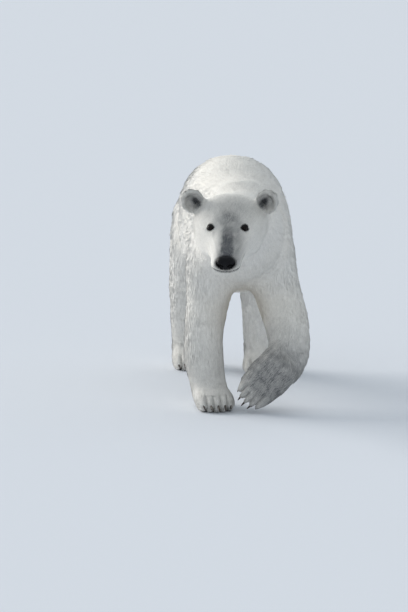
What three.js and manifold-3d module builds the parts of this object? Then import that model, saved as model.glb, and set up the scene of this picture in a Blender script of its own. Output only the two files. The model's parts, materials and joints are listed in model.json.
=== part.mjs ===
// Polar bear, about two years old, life size: a still standing model in mid stride, with the left
// forepaw lifted. Millimetres, +Z up; the bear looks along -Y, so its left side is +X.
// Every solid is the outline of the animal with its coat on.
import * as THREE from 'three';
import { LoftGeometry } from 'three/addons/geometries/LoftGeometry.js';
import { mergeVertices } from 'three/addons/utils/BufferGeometryUtils.js';
import Module from 'manifold-3d';

const wasm = await Module();
wasm.setup();

// ---- Driving sizes ------------------------------------------------------------------------------
const GAP = 0.4; // clear width of every cut between two named parts
const RUMP_HEIGHT = 828; // floor to the top of the rump
const WITHERS_HEIGHT = 816; // floor to the top of the shoulders
const BACK_DIP = 28; // how far the back sinks between them
const BELLY_HEIGHT = 346; // floor to the belly
const RUMP_HALF_WIDTH = 212;
const CHEST_HALF_WIDTH = 176;
const PAW_LENGTH = 190;
const PAW_HALF_WIDTH = 74;
const HIND_PAW_LENGTH = 225;
const HIND_PAW_HALF_WIDTH = 68;
const TOES_PER_PAW = 5;
const HEAD_PITCH = 22; // degrees the palate dips below level
const HEAD_YAW = 7; // degrees the face turns to the bear's right
const HEAD_CENTRE = [-57, -627, 722]; // middle of the braincase, on the level of the eyes
const EYE_RADIUS = 13;
// Distances from the middle of the braincase: forward along the head, to the side, and up.
const EYE_FORWARD = 136;
const EYE_HALF_SPACING = 59;
const EYE_LEVEL = 26;
const NOSE_FORWARD = 287;
const MOUTH_LEVEL = -63;
const MOUTH_CORNER = 150;
const CLAW_LENGTH = 34;
const CLAW_RADIUS = 6.5;

const LIMB_SIDES = 12;
const BODY_SIDES = 20;
const HEAD_SIDES = 22;

// ---- Solids -------------------------------------------------------------------------------------
// A closed body from a closed geometry, swollen by grow along its own normals.
function solid(geometry, grow = 0) {
  const bare = new THREE.BufferGeometry();
  bare.setAttribute('position', geometry.getAttribute('position'));
  bare.setIndex(geometry.index);
  const merged = mergeVertices(bare, 1e-3);
  merged.computeVertexNormals();
  const { position, normal } = merged.attributes;
  const corners = position.array.map((value, i) => value + grow * normal.array[i]);
  const triVerts = new Uint32Array(merged.index.array);
  return new wasm.Manifold(new wasm.Mesh({ numProp: 3, vertProperties: corners, triVerts }));
}

// The largest single body of a cut, so that no loose sliver stays.
function main(body) {
  return body.decompose().sort((a, b) => b.volume() - a.volume())[0];
}

function geometryOf(body) {
  const mesh = body.getMesh();
  const geometry = new THREE.BufferGeometry();
  geometry.setAttribute('position', new THREE.BufferAttribute(mesh.vertProperties, 3));
  geometry.setIndex(new THREE.BufferAttribute(mesh.triVerts, 1));
  return geometry;
}

// A body form: superellipse rings threaded on a smooth line through a few stations. A station gives
// the ring's middle (at), its half width along side, its reach to the front and to the back of the
// limb (or up and down on the trunk), and the exponents that fill its corners: square for the front
// half, low for the back half.
function form(stations, sides, rings, grow = 0) {
  const line = (pick) =>
    new THREE.CatmullRomCurve3(stations.map((s) => new THREE.Vector3(...pick(s))), false, 'catmullrom');
  const middle = line((s) => s.at);
  const size = line((s) => [s.wide, s.front, s.back]);
  const side = line((s) => s.side ?? [1, 0, 0]);
  const corner = line((s) => [s.square ?? 2, s.low ?? s.square ?? 2, 0]);
  const sections = [];
  for (let i = 0; i <= rings; i++) {
    const t = i / rings;
    const centre = middle.getPoint(t);
    const along = middle.getTangent(t);
    const across = side.getPoint(t).addScaledVector(along, -side.getPoint(t).dot(along)).normalize();
    const out = new THREE.Vector3().crossVectors(along, across);
    const { x: wide, y: front, z: back } = size.getPoint(t);
    const { x: square, y: low } = corner.getPoint(t);
    const ring = [];
    for (let k = 0; k < sides; k++) {
      const turn = (2 * Math.PI * k) / sides;
      const power = 2 / (Math.sin(turn) > 0 ? square : low);
      const c = Math.sign(Math.cos(turn)) * Math.abs(Math.cos(turn)) ** power;
      const s = Math.sign(Math.sin(turn)) * Math.abs(Math.sin(turn)) ** power;
      const reach = s > 0 ? front : back;
      ring.push(centre.clone().addScaledVector(across, c * wide).addScaledVector(out, s * reach));
    }
    sections.push(ring);
  }
  return solid(new LoftGeometry(sections, { capStart: true, capEnd: true }), grow);
}

function ball(at, radii, turn, fine, grow = 0) {
  const geometry = new THREE.SphereGeometry(1, fine + 2, fine);
  const spin = new THREE.Quaternion().setFromEuler(new THREE.Euler(...turn));
  geometry.applyMatrix4(
    new THREE.Matrix4().compose(new THREE.Vector3(...at), spin, new THREE.Vector3(...radii)),
  );
  return solid(geometry, grow);
}

// Everything on the side of a plane that its normal points to.
function beyond(point, normal, shift = 0) {
  const reach = 4000;
  const geometry = new THREE.BoxGeometry(reach, reach, reach);
  const n = new THREE.Vector3(...normal).normalize();
  const turn = new THREE.Quaternion().setFromUnitVectors(new THREE.Vector3(0, 0, 1), n);
  const at = new THREE.Vector3(...point).addScaledVector(n, reach / 2 + shift);
  geometry.applyMatrix4(new THREE.Matrix4().compose(at, turn, new THREE.Vector3(1, 1, 1)));
  return solid(geometry);
}

// Parts a body by a plane, with a clear gap: the piece the normal points to, then the rest.
function part(body, point, normal) {
  const away = normal.map((v) => -v);
  return [
    main(body.intersect(beyond(point, normal, GAP / 2))),
    main(body.intersect(beyond(point, away, GAP / 2))),
  ];
}

function moved(body, matrix) {
  return body.transform(matrix.toArray());
}

// ---- Trunk, neck and tail -----------------------------------------------------------------------
function trunkStation(y, x, top, bottom, wide, square = 2.1) {
  const middle = bottom + (top - bottom) * 0.48;
  return { at: [x, y, middle], wide, front: top - middle, back: middle - bottom, square };
}

function trunkForm(grow = 0) {
  const dip = (RUMP_HEIGHT + WITHERS_HEIGHT) / 2 - BACK_DIP;
  return form(
    [
      trunkStation(642, 5, RUMP_HEIGHT - 176, 574, 44),
      trunkStation(616, 5, RUMP_HEIGHT - 102, 506, 114),
      trunkStation(536, 6, RUMP_HEIGHT - 34, 428, 177),
      trunkStation(410, 6, RUMP_HEIGHT, 384, RUMP_HALF_WIDTH - 5),
      trunkStation(240, 6, RUMP_HEIGHT - 8, 360, RUMP_HALF_WIDTH),
      trunkStation(60, 4, dip, BELLY_HEIGHT, RUMP_HALF_WIDTH),
      trunkStation(-130, 1, dip + 4, 370, CHEST_HALF_WIDTH + 24),
      trunkStation(-290, 0, WITHERS_HEIGHT, 408, CHEST_HALF_WIDTH + 4),
      trunkStation(-392, -3, 782, 436, 152, 2),
      trunkStation(-452, -8, 708, 468, 106, 2),
      trunkStation(-476, -10, 640, 532, 46, 2),
    ],
    BODY_SIDES,
    19,
    grow,
  );
}

function neckForm(grow = 0) {
  const side = [1, 0.1, 0];
  return form(
    [
      { at: [0, -290, 600], wide: 166, front: 206, back: 186, side },
      { at: [-7, -396, 624], wide: 163, front: 176, back: 178, side },
      { at: [-25, -488, 660], wide: 152, front: 138, back: 148, side },
      { at: [-40, -570, 692], wide: 137, front: 106, back: 114, side },
      { at: [-51, -632, 713], wide: 112, front: 66, back: 78, side },
    ],
    BODY_SIDES,
    6,
    grow,
  );
}

function tailForm() {
  return form(
    [
      { at: [5, 586, 690], wide: 38, front: 34, back: 36 },
      { at: [5, 620, 672], wide: 37, front: 30, back: 32 },
      { at: [5, 642, 640], wide: 32, front: 24, back: 26 },
      { at: [5, 649, 602], wide: 24, front: 18, back: 20 },
      { at: [5, 646, 572], wide: 9, front: 7, back: 7 },
    ],
    8,
    5,
  );
}

// ---- Head ---------------------------------------------------------------------------------------
// The head is drawn in its own frame: nose towards -Y, middle of the braincase at the origin.
const headTurn = new THREE.Euler(
  THREE.MathUtils.degToRad(HEAD_PITCH),
  0,
  THREE.MathUtils.degToRad(-HEAD_YAW),
  'ZXY',
);
const headPlace = new THREE.Matrix4().compose(
  new THREE.Vector3(...HEAD_CENTRE),
  new THREE.Quaternion().setFromEuler(headTurn),
  new THREE.Vector3(1, 1, 1),
);

function headStation(forward, top, bottom, wide, square = 2, low = square) {
  const middle = (top + bottom) / 2;
  return { at: [0, -forward, middle], wide, front: top - middle, back: middle - bottom, square, low };
}

function headForm(grow = 0) {
  return form(
    [
      headStation(-124, 4, -92, 90),
      headStation(-80, 40, -112, 120),
      headStation(-32, 66, -122, 132, 2, 2.2),
      headStation(14, 76, -125, 134, 2.1, 2.4),
      headStation(54, 71, -125, 128, 2.2, 2.7),
      headStation(90, 60, -121, 118, 2.3, 3.4),
      headStation(118, 50, -115, 103, 2.4, 3.6),
      headStation(146, 37, -106, 83, 2.4, 3.2),
      headStation(186, 20, -98, 60, 2.5, 2.6),
      headStation(230, 6, -91, 53, 2.5, 2.5),
      headStation(262, -6, -82, 49, 2.4, 2.4),
      headStation(NOSE_FORWARD - 6, -17, -70, 41, 2.2),
      headStation(NOSE_FORWARD + 1, -30, -59, 24),
    ],
    HEAD_SIDES,
    17,
    grow,
  );
}

// A cup with its mouth forward and outward, its root sunk in the side of the crown.
function earForm(sign) {
  const cup = ball([0, 0, 0], [40, 20, 50], [0, 0, 0], 7);
  const hollow = ball([0, -21, 6], [27, 17, 34], [0, 0, 0], 5);
  const lean = new THREE.Euler(0.16, sign * 0.5, sign * -0.34);
  const place = new THREE.Matrix4().compose(
    new THREE.Vector3(sign * 129, 2, 53),
    new THREE.Quaternion().setFromEuler(lean),
    new THREE.Vector3(1, 1, 1),
  );
  const root = ball([sign * 106, 8, 26], [26, 20, 28], [0, sign * 0.6, 0], 4);
  return moved(cup, place).add(root).subtract(moved(hollow, place));
}

function eyeBall(sign, grow = 0) {
  const at = [sign * EYE_HALF_SPACING, -EYE_FORWARD, EYE_LEVEL];
  return ball(at, [EYE_RADIUS, EYE_RADIUS, EYE_RADIUS], [0, 0, 0], 6, grow);
}

// The opening between the lids, cut ahead of the eyeball.
function lidOpening(sign) {
  const at = [sign * (EYE_HALF_SPACING + 6), -EYE_FORWARD - 13, EYE_LEVEL + 2];
  return ball(at, [15, 15, 12], [0, 0, sign * 0.35], 5);
}

function noseForm(grow = 0) {
  return form(
    [
      { at: [0, -NOSE_FORWARD + 30, -34], wide: 26, front: 22, back: 20 },
      { at: [0, -NOSE_FORWARD + 14, -35], wide: 33, front: 25, back: 25, square: 2.4 },
      { at: [0, -NOSE_FORWARD, -37], wide: 30, front: 20, back: 22, square: 2.4 },
      { at: [0, -NOSE_FORWARD - 8, -38], wide: 15, front: 10, back: 10 },
    ],
    10,
    5,
    grow,
  );
}

function jawSpace(grow) {
  const long = NOSE_FORWARD + 60 - MOUTH_CORNER;
  const geometry = new THREE.BoxGeometry(260, long + grow, 120 + 2 * grow);
  geometry.translate(0, -MOUTH_CORNER - long / 2 + grow / 2, MOUTH_LEVEL - 60);
  return solid(geometry);
}

// ---- Legs ---------------------------------------------------------------------------------------
// A paw in its own frame: sole on z = 0, toes towards -Y, wrist or ankle over the origin.
function pawForm({ length, wide, spread = wide, heel, height, curl = 0 }) {
  const tip = length - 20;
  const palm = (2 * wide + spread) / 3;
  const body = form(
    [
      { at: [0, heel + 16, 34], wide: wide * 0.4, front: 22, back: 26 },
      { at: [0, heel - 6, 42], wide: wide * 0.72, front: 42, back: 46, square: 2.3 },
      { at: [0, heel * 0.2, 48], wide: wide * 0.88, front: height * 0.78, back: 54, square: 2.4 },
      { at: [0, -tip * 0.42, 42], wide: palm, front: height * 0.58, back: 46, square: 2.4 },
      { at: [0, -tip * 0.78, 34], wide: spread, front: height * 0.36, back: 38, square: 2.5 },
      { at: [0, -tip, 28], wide: spread * 0.78, front: height * 0.18, back: 28, square: 2.4 },
    ],
    LIMB_SIDES,
    5,
  );
  return toeSpots({ length, spread, curl }).reduce(
    (paw, toe) => paw.add(ball(toe.at, [toe.wide, 36, 27], [-curl * 0.4, 0, toe.turn], 4)),
    body,
  );
}

// Where the toes of a paw sit, from the outer to the inner one, fanned round its front.
function toeSpots({ length, spread, curl = 0 }) {
  return Array.from({ length: TOES_PER_PAW }, (_, i) => {
    const across = (i / (TOES_PER_PAW - 1)) * 2 - 1;
    const setBack = 26 * across * across;
    return {
      at: [across * (spread - 17), -(length - 34 - setBack), 26 - curl * 14],
      wide: spread / TOES_PER_PAW + 4,
      turn: -across * 0.22,
    };
  });
}

// A claw in its own frame: root at the origin, curving forward along -Y and down.
function clawForm() {
  const steps = 2;
  const bend = 0.8;
  const stations = Array.from({ length: steps + 1 }, (_, i) => {
    const t = i / steps;
    const turn = t * bend;
    const radius = CLAW_RADIUS * (1 - 0.86 * t ** 1.4);
    return {
      at: [0, (-CLAW_LENGTH * Math.sin(turn)) / bend, (-CLAW_LENGTH * (1 - Math.cos(turn))) / bend],
      wide: radius * 0.72,
      front: radius,
      back: radius,
    };
  });
  return form(stations, 5, steps);
}

function clawPlaces(paw) {
  return toeSpots({ spread: paw.wide, ...paw }).map((toe) => {
    const [x, y, z] = toe.at;
    const dip = 0.1 + (paw.curl ?? 0);
    const turn = new THREE.Quaternion().setFromEuler(new THREE.Euler(dip, 0, toe.turn, 'ZXY'));
    const reach = new THREE.Vector3(0, -24, 3).applyQuaternion(turn);
    return new THREE.Matrix4().compose(
      new THREE.Vector3(x, y, z).add(reach),
      turn,
      new THREE.Vector3(1, 1, 1),
    );
  });
}

const forePaw = { length: PAW_LENGTH, wide: PAW_HALF_WIDTH, heel: 36, height: 92 };
const liftedPaw = { ...forePaw, height: 104, length: PAW_LENGTH + 18, wide: 92, spread: 71, curl: 0.35 };
const hindPaw = { length: HIND_PAW_LENGTH - 60, wide: HIND_PAW_HALF_WIDTH, heel: 58, height: 84 };

function standing(at, toeIn) {
  return new THREE.Matrix4().compose(
    new THREE.Vector3(...at),
    new THREE.Quaternion().setFromEuler(new THREE.Euler(0, 0, toeIn)),
    new THREE.Vector3(1, 1, 1),
  );
}

// The lifted paw hangs from its wrist: toes point inwards and down, the top of the paw looks ahead.
function hanging(wrist, toesTo, topTo) {
  const back = new THREE.Vector3(...toesTo).normalize().negate();
  const ahead = new THREE.Vector3(...topTo);
  const top = ahead.addScaledVector(back, -back.dot(ahead)).normalize();
  const across = new THREE.Vector3().crossVectors(back, top);
  const basis = new THREE.Matrix4().makeBasis(across, back, top);
  const soleToWrist = new THREE.Vector3(0, 0, -44).applyMatrix4(basis);
  return basis.setPosition(new THREE.Vector3(...wrist).add(soleToWrist));
}

const LEGS = [
  {
    name: 'fore_right',
    upper: 'upper_arm_right',
    lower: 'forearm_right',
    foot: 'forepaw_right',
    stations: [
      { at: [-78, -300, 690], wide: 80, front: 96, back: 110 },
      { at: [-92, -320, 590], wide: 100, front: 128, back: 124 },
      { at: [-104, -334, 485], wide: 106, front: 118, back: 112 },
      { at: [-119, -334, 385], wide: 87, front: 92, back: 94 },
      { at: [-134, -338, 285], wide: 78, front: 74, back: 80 },
      { at: [-137, -350, 185], wide: 77, front: 70, back: 74 },
      { at: [-124, -360, 95], wide: 72, front: 74, back: 68 },
      { at: [-110, -362, 40], wide: 62, front: 66, back: 56 },
    ],
    joint: { at: [-131, -336, 345], to: [0, 0, -1] },
    ankle: { at: [-120, -362, 96], to: [0, 0, -1] },
    paw: forePaw,
    place: standing([-119, -352, 0], 0.14),
  },
  {
    name: 'fore_left',
    upper: 'upper_arm_left',
    lower: 'forearm_left',
    foot: 'forepaw_left',
    stations: [
      { at: [78, -300, 690], wide: 80, front: 96, back: 110 },
      { at: [92, -320, 590], wide: 100, front: 128, back: 124 },
      { at: [106, -330, 485], wide: 102, front: 120, back: 110 },
      { at: [132, -336, 395], wide: 93, front: 100, back: 92 },
      { at: [156, -376, 318], wide: 88, front: 88, back: 80 },
      { at: [163, -446, 254], wide: 82, front: 76, back: 72 },
      { at: [157, -506, 194], wide: 77, front: 68, back: 66 },
      { at: [134, -534, 138], wide: 66, front: 54, back: 52 },
    ],
    joint: { at: [150, -352, 356], to: [0.05, -0.5, -0.86] },
    ankle: { at: [160, -490, 222], to: [-0.3, -0.6, -0.74] },
    paw: liftedPaw,
    place: hanging([143, -522, 186], [-0.7, -0.18, -0.68], [-0.1, -1, 0.15]),
  },
  {
    name: 'hind_right',
    upper: 'thigh_right',
    lower: 'shank_right',
    foot: 'hind_paw_right',
    stations: [
      { at: [-70, 410, 710], wide: 70, front: 120, back: 104 },
      { at: [-108, 420, 620], wide: 102, front: 170, back: 176 },
      { at: [-134, 412, 510], wide: 98, front: 168, back: 186 },
      { at: [-150, 420, 405], wide: 85, front: 132, back: 158 },
      { at: [-159, 450, 300], wide: 75, front: 96, back: 112 },
      { at: [-161, 494, 200], wide: 66, front: 78, back: 84 },
      { at: [-160, 524, 110], wide: 62, front: 76, back: 74 },
      { at: [-160, 532, 50], wide: 54, front: 60, back: 60 },
    ],
    joint: { at: [-157, 434, 350], to: [0, 0.2, -1] },
    ankle: { at: [-160, 528, 116], to: [0, 0, -1] },
    paw: hindPaw,
    place: standing([-158, 530, 0], 0.05),
  },
  {
    name: 'hind_left',
    upper: 'thigh_left',
    lower: 'shank_left',
    foot: 'hind_paw_left',
    stations: [
      { at: [82, 410, 710], wide: 70, front: 120, back: 104 },
      { at: [113, 408, 620], wide: 98, front: 174, back: 182 },
      { at: [134, 386, 510], wide: 97, front: 172, back: 190 },
      { at: [120, 368, 405], wide: 100, front: 136, back: 156 },
      { at: [111, 376, 300], wide: 83, front: 96, back: 110 },
      { at: [109, 396, 200], wide: 67, front: 78, back: 84 },
      { at: [107, 412, 110], wide: 62, front: 76, back: 74 },
      { at: [107, 420, 50], wide: 54, front: 60, back: 60 },
    ],
    joint: { at: [126, 370, 350], to: [0, 0.1, -1] },
    ankle: { at: [107, 416, 116], to: [0, 0, -1] },
    paw: hindPaw,
    place: standing([112, 418, 0], -0.05),
  },
];

function legSolids(leg, body) {
  const floor = beyond([0, 0, 0], [0, 0, 1]);
  const paw = moved(pawForm(leg.paw), leg.place);
  const whole = form(leg.stations, LIMB_SIDES, 12).add(paw).intersect(floor);
  const [below, upper] = part(whole, leg.joint.at, leg.joint.to);
  const [foot, lower] = part(below, leg.ankle.at, leg.ankle.to);
  const claws = clawPlaces(leg.paw).map((place) =>
    moved(clawForm(), leg.place.clone().multiply(place)),
  );
  return { upper: main(upper.subtract(body)), lower: main(lower.subtract(body)), foot, claws };
}

// ---- The whole animal ---------------------------------------------------------------------------
const coat = { color: 0xe9e4d6, roughness: 0.85 };
const noseLeather = { color: 0x111216, roughness: 0.45 };
const eyeGloss = { color: 0x120c08, roughness: 0.08 };
const clawHorn = { color: 0x2c2620, roughness: 0.4 };

const bear = new THREE.Group();

function add(name, body, look) {
  const mesh = new THREE.Mesh(geometryOf(body), new THREE.MeshStandardMaterial(look));
  mesh.name = name;
  bear.add(mesh);
}

const trunk = trunkForm();
const trunkSpace = trunkForm(GAP);
const torsoSpace = trunkSpace.add(neckForm(GAP)).add(moved(headForm(GAP), headPlace));

const neckAndHead = neckForm().add(moved(headForm(), headPlace)).subtract(trunkSpace);
const nape = new THREE.Vector3(0, 66, 0).applyMatrix4(headPlace);
const [headWhole, neckWhole] = part(neckAndHead, nape.toArray(), [-0.12, -1, 0.35]);

const inHeadFrame = moved(headWhole, headPlace.clone().invert());
const face = [-1, 1].reduce(
  (head, sign) => head.subtract(eyeBall(sign, GAP)).subtract(lidOpening(sign)),
  inHeadFrame,
);
const skullAndJaw = face.subtract(noseForm(GAP));
const jaw = main(skullAndJaw.intersect(jawSpace(0)));
const skull = main(skullAndJaw.subtract(jawSpace(GAP)));

add('trunk', trunk, coat);
add('neck', neckWhole, coat);
add('tail', main(tailForm().subtract(trunkSpace)), coat);
add('head', moved(skull, headPlace), coat);
add('lower_jaw', moved(jaw, headPlace), coat);
add('nose', moved(noseForm(), headPlace), noseLeather);
for (const [side, sign] of [['right', -1], ['left', 1]]) {
  add(`eye_${side}`, moved(eyeBall(sign), headPlace), eyeGloss);
  add(`ear_${side}`, main(moved(earForm(sign), headPlace).subtract(torsoSpace)), coat);
}
for (const leg of LEGS) {
  const solids = legSolids(leg, torsoSpace);
  const footCut = solids.claws.reduce((foot, claw) => foot.subtract(claw), solids.foot);
  add(leg.upper, solids.upper, coat);
  add(leg.lower, solids.lower, coat);
  add(leg.foot, main(footCut), coat);
  solids.claws.forEach((claw, i) => add(`claw_${leg.name}_${i + 1}`, claw, clawHorn));
}

// Origin: the middle of the outline, on the floor.
const box = new THREE.Box3().setFromObject(bear);
bear.position.set(-(box.min.x + box.max.x) / 2, -(box.min.y + box.max.y) / 2, -box.min.z);

export default bear;
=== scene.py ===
"""Polar bear, about two years old, life size: skin, eyes, nose, claws and a coat of solid tufts.

Metres, +Z up; the bear looks along -Y, so its left side is +X.
"""

import json
import math
from contextlib import contextmanager

import bmesh
import bpy
import numpy as np
from bpy.props import FloatProperty, FloatVectorProperty, PointerProperty
from mathutils import Matrix, Vector
from mathutils.bvhtree import BVHTree
from mathutils.kdtree import KDTree

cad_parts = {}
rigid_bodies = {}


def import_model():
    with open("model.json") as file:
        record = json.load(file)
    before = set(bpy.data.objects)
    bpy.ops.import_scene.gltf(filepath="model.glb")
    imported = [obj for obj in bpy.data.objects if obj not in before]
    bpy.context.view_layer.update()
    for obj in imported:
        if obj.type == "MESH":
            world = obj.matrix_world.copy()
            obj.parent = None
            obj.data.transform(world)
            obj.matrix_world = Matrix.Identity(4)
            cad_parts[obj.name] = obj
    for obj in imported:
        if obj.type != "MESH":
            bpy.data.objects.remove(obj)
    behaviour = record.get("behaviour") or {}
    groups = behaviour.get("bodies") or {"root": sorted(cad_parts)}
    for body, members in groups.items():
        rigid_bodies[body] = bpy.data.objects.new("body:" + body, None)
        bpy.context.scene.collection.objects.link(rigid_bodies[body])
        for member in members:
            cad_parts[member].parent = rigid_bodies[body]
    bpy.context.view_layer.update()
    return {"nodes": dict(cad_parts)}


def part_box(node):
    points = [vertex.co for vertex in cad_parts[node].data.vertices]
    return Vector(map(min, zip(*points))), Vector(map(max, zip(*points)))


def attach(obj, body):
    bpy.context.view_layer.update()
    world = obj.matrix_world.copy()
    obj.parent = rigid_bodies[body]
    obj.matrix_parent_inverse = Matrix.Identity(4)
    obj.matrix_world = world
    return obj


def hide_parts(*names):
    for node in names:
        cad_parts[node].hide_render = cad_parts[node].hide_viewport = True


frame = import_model()

bl_info = {
    "name": "Polar Bear",
    "version": (1, 0, 0),
    "blender": (4, 5, 0),
    "location": "View3D > Sidebar > Bear",
    "description": "Builds a life-size young polar bear with a coat of solid tufts",
    "category": "Object",
}

SIDES = {"right": -1, "left": 1}
LEGS = {
    f"{pair}_{side}": (f"{upper}_{side}", f"{lower}_{side}", f"{paw}_{side}")
    for pair, upper, lower, paw in (
        ("fore", "upper_arm", "forearm", "forepaw"),
        ("hind", "thigh", "shank", "hind_paw"),
    )
    for side in SIDES
}
TOES = range(1, 6)
EARS = tuple(f"ear_{side}" for side in SIDES)
EYES = tuple(f"eye_{side}" for side in SIDES)
HEAD = ("head", "lower_jaw", *EARS)
BODY = ("trunk", "neck", "tail", *HEAD)
FLESH = (*BODY, *(node for leg in LEGS.values() for node in leg))
FLOOR = 0.0002  # the skin stays this far over the level the soles stand on


def claw_names(leg):
    return [f"claw_{leg}_{toe}" for toe in TOES]


# ---- Places taken from the frame ----
BETWEEN_EYES = Vector((0, -0.136, 0.026))  # in the head's own frame


def settings():
    return bpy.context.scene.polar_bear


def middle(node):
    low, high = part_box(node)
    return (low + high) / 2


def head_matrix():
    """From the head's own frame, nose towards -Y and braincase at the origin, to the row frame."""
    right, left = (middle(eye) for eye in EYES)
    across, dip = left - right, settings().head_pitch
    turn = Matrix.Rotation(math.atan2(across.y, across.x), 4, "Z") @ Matrix.Rotation(dip, 4, "X")
    return Matrix.Translation((right + left) / 2) @ turn @ Matrix.Translation(-BETWEEN_EYES)


def through(matrix, points):
    """An array of points, moved by a matrix."""
    m = np.array(matrix)
    return points @ m[:3, :3].T + m[:3, 3]


def in_head(places):
    """Places of the row frame in the head's own frame."""
    return through(head_matrix().inverted(), places)


def unit(vectors):
    return vectors / np.maximum(np.linalg.norm(vectors, axis=-1, keepdims=True), 1e-9)


def ease(values, low, high):
    """0 below low, 1 above high and an even rise between; the other way round if high is less."""
    t = np.clip((values - low) / (high - low), 0, 1)
    return t * t * (3 - 2 * t)


def distance(points, spot):
    return np.linalg.norm(points - np.array(spot), axis=1)


def bell(values, width):
    """1 at 0, falling smoothly on both sides to 0 about two widths away."""
    return np.exp(-((values / width) ** 2))


def hill(points, at, size):
    """1 at a place, falling smoothly to 0 about two sizes away from it."""
    return np.exp(-np.sum(((points - at) / size) ** 2, axis=1))


def capsule(points, a, b, radius):
    """Distance inside a rounded bar from a to b: 1 on its line, 0 at its radius and beyond."""
    a, b = np.array(a), np.array(b)
    along = np.clip((points - a) @ (b - a) / ((b - a) @ (b - a)), 0, 1)
    away = np.linalg.norm(points - a - along[:, None] * (b - a), axis=1)
    return ease(away, radius, radius * 0.35)


def waves(points, size, seed, count=7):
    """A smooth random value near -1 to 1, from a few crossing waves about size metres long."""
    rng = np.random.default_rng(seed)
    total = np.zeros(len(points))
    for _ in range(count):
        way = rng.normal(size=3)
        way *= 2 * math.pi / (np.linalg.norm(way) * size * rng.uniform(0.7, 1.5))
        total += np.sin(points @ way + rng.uniform(0, 2 * math.pi))
    return total / math.sqrt(2 * count)


# ---- Meshes ----
def object_from(name, mesh):
    old = bpy.data.objects.get(name)
    if old:
        bpy.data.objects.remove(old)
    mesh.name = name
    piece = bpy.data.objects.new(name, mesh)
    bpy.context.scene.collection.objects.link(piece)
    return piece


def mesh_from(bm, name):
    mesh = bpy.data.meshes.new(name)
    bm.to_mesh(mesh)
    bm.free()
    return mesh


def read(items, name, width, kind=float):
    """One property of all the items of a mesh, as rows of an array."""
    values = np.zeros(len(items) * width, kind)
    items.foreach_get(name, values)
    return values.reshape(-1, width)


def write(items, name, values, kind=np.float32):
    items.foreach_set(name, np.asarray(values, kind).ravel())


def smooth(mesh):
    write(mesh.polygons, "use_smooth", np.ones(len(mesh.polygons)), bool)
    return mesh


def owned_by(owners, nodes):
    """Which places belong to one of the named solids of flesh."""
    return np.isin(owners, [FLESH.index(node) for node in nodes])


def add_piece(name, mesh, look, nodes):
    """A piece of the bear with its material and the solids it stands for."""
    piece = object_from(name, mesh)
    mesh.materials.clear()
    mesh.materials.append(material(*look))
    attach(piece, "root")
    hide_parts(*nodes)
    return piece


def node_bmesh(name, grow=0.0):
    """A merged copy of a CAD node, swollen along its normals."""
    bm = bmesh.new()
    bm.from_mesh(frame["nodes"][name].data)
    bmesh.ops.remove_doubles(bm, verts=bm.verts, dist=1e-5)
    bm.normal_update()
    moves = [(v, v.normal * grow) for v in bm.verts]
    for v, move in moves:
        v.co += move
    return bm


def gathered(nodes, grow):
    """Merged, swollen copies of CAD nodes in one bmesh."""
    whole = bmesh.new()
    for name in nodes:
        mesh = mesh_from(node_bmesh(name, grow), name)
        whole.from_mesh(mesh)
        bpy.data.meshes.remove(mesh)
    return whole


def arrays(mesh):
    """Vertex places, vertex normals and edges of a mesh as arrays."""
    places, normals = (read(mesh.vertices, name, 3) for name in ("co", "normal"))
    return places, normals, read(mesh.edges, "vertices", 2, np.int64)


def place_vertices(mesh, places):
    write(mesh.vertices, "co", places)
    mesh.update()


def relaxed(values, edges, steps, share):
    """Values on vertices, evened out along the edges; share is how far each moves per step."""
    count = len(values)
    a, b = edges[:, 0], edges[:, 1]
    neighbours = np.bincount(a, minlength=count) + np.bincount(b, minlength=count)
    for _ in range(steps):
        total = [
            np.bincount(a, column[b], count) + np.bincount(b, column[a], count)
            for column in values.T
        ]
        values = values + share * (np.stack(total, axis=1) / neighbours[:, None] - values)
    return values


@contextmanager
def edited(mesh):
    """A mesh opened as a bmesh, and written back at the end."""
    bm = bmesh.new()
    bm.from_mesh(mesh)
    yield bm
    bm.to_mesh(mesh)
    bm.free()


def largest_shell(mesh):
    """The mesh without any piece but its largest connected shell."""
    with edited(mesh) as bm:
        unseen = set(bm.verts)
        shells = []
        while unseen:
            start = unseen.pop()
            shell, front = {start}, [start]
            while front:
                v = front.pop()
                reached = {e.other_vert(v) for e in v.link_edges} & unseen
                unseen -= reached
                shell |= reached
                front.extend(reached)
            shells.append(shell)
        shells.sort(key=len)
        loose = [v for shell in shells[:-1] for v in shell]
        bmesh.ops.delete(bm, geom=loose, context="VERTS")
    return mesh


def modified(mesh, make):
    """The mesh after the modifiers that make adds to an object holding it."""
    piece = object_from("working_shape", mesh)
    make(piece)
    graph = bpy.context.evaluated_depsgraph_get()
    result = bpy.data.meshes.new_from_object(piece.evaluated_get(graph))
    bpy.data.objects.remove(piece)
    bpy.data.meshes.remove(mesh)
    return result


# ---- The lie of the coat ----
# For each part of the body: how deep the coat stands over the skin, how long and how wide a tuft
# is, how far it rises at its root, how much of the smoothing it takes, and how densely it grows
# (tufts to a square centimetre).
COAT = {
    "trunk": (0.0118, 0.047, 0.0026, 14.5, 0.60, 10.5),
    "neck": (0.0114, 0.043, 0.0025, 15.5, 0.60, 11.8),
    "tail": (0.0090, 0.038, 0.0024, 12, 0.12, 15),
    "head": (0.0060, 0.019, 0.0016, 20, 0.16, 26),
    "ear": (0.0030, 0.014, 0.0014, 28, 0.02, 36),
    "upper": (0.0114, 0.043, 0.0025, 14.5, 0.60, 11.8),
    "lower": (0.0095, 0.034, 0.0023, 14.5, 0.50, 13.5),
    "paw": (0.0060, 0.022, 0.0020, 15, 0.24, 19),
}
DEPTH, LENGTH, WIDTH, RISE, SMOOTHING, DENSITY = range(6)
PART_OF = {"head": "head", "lower_jaw": "head", "neck": "neck", "tail": "tail", "trunk": "trunk"}
PART_OF.update({ear: "ear" for ear in EARS})
for _leg in LEGS.values():
    PART_OF.update(zip(_leg, ("upper", "lower", "paw")))


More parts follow.
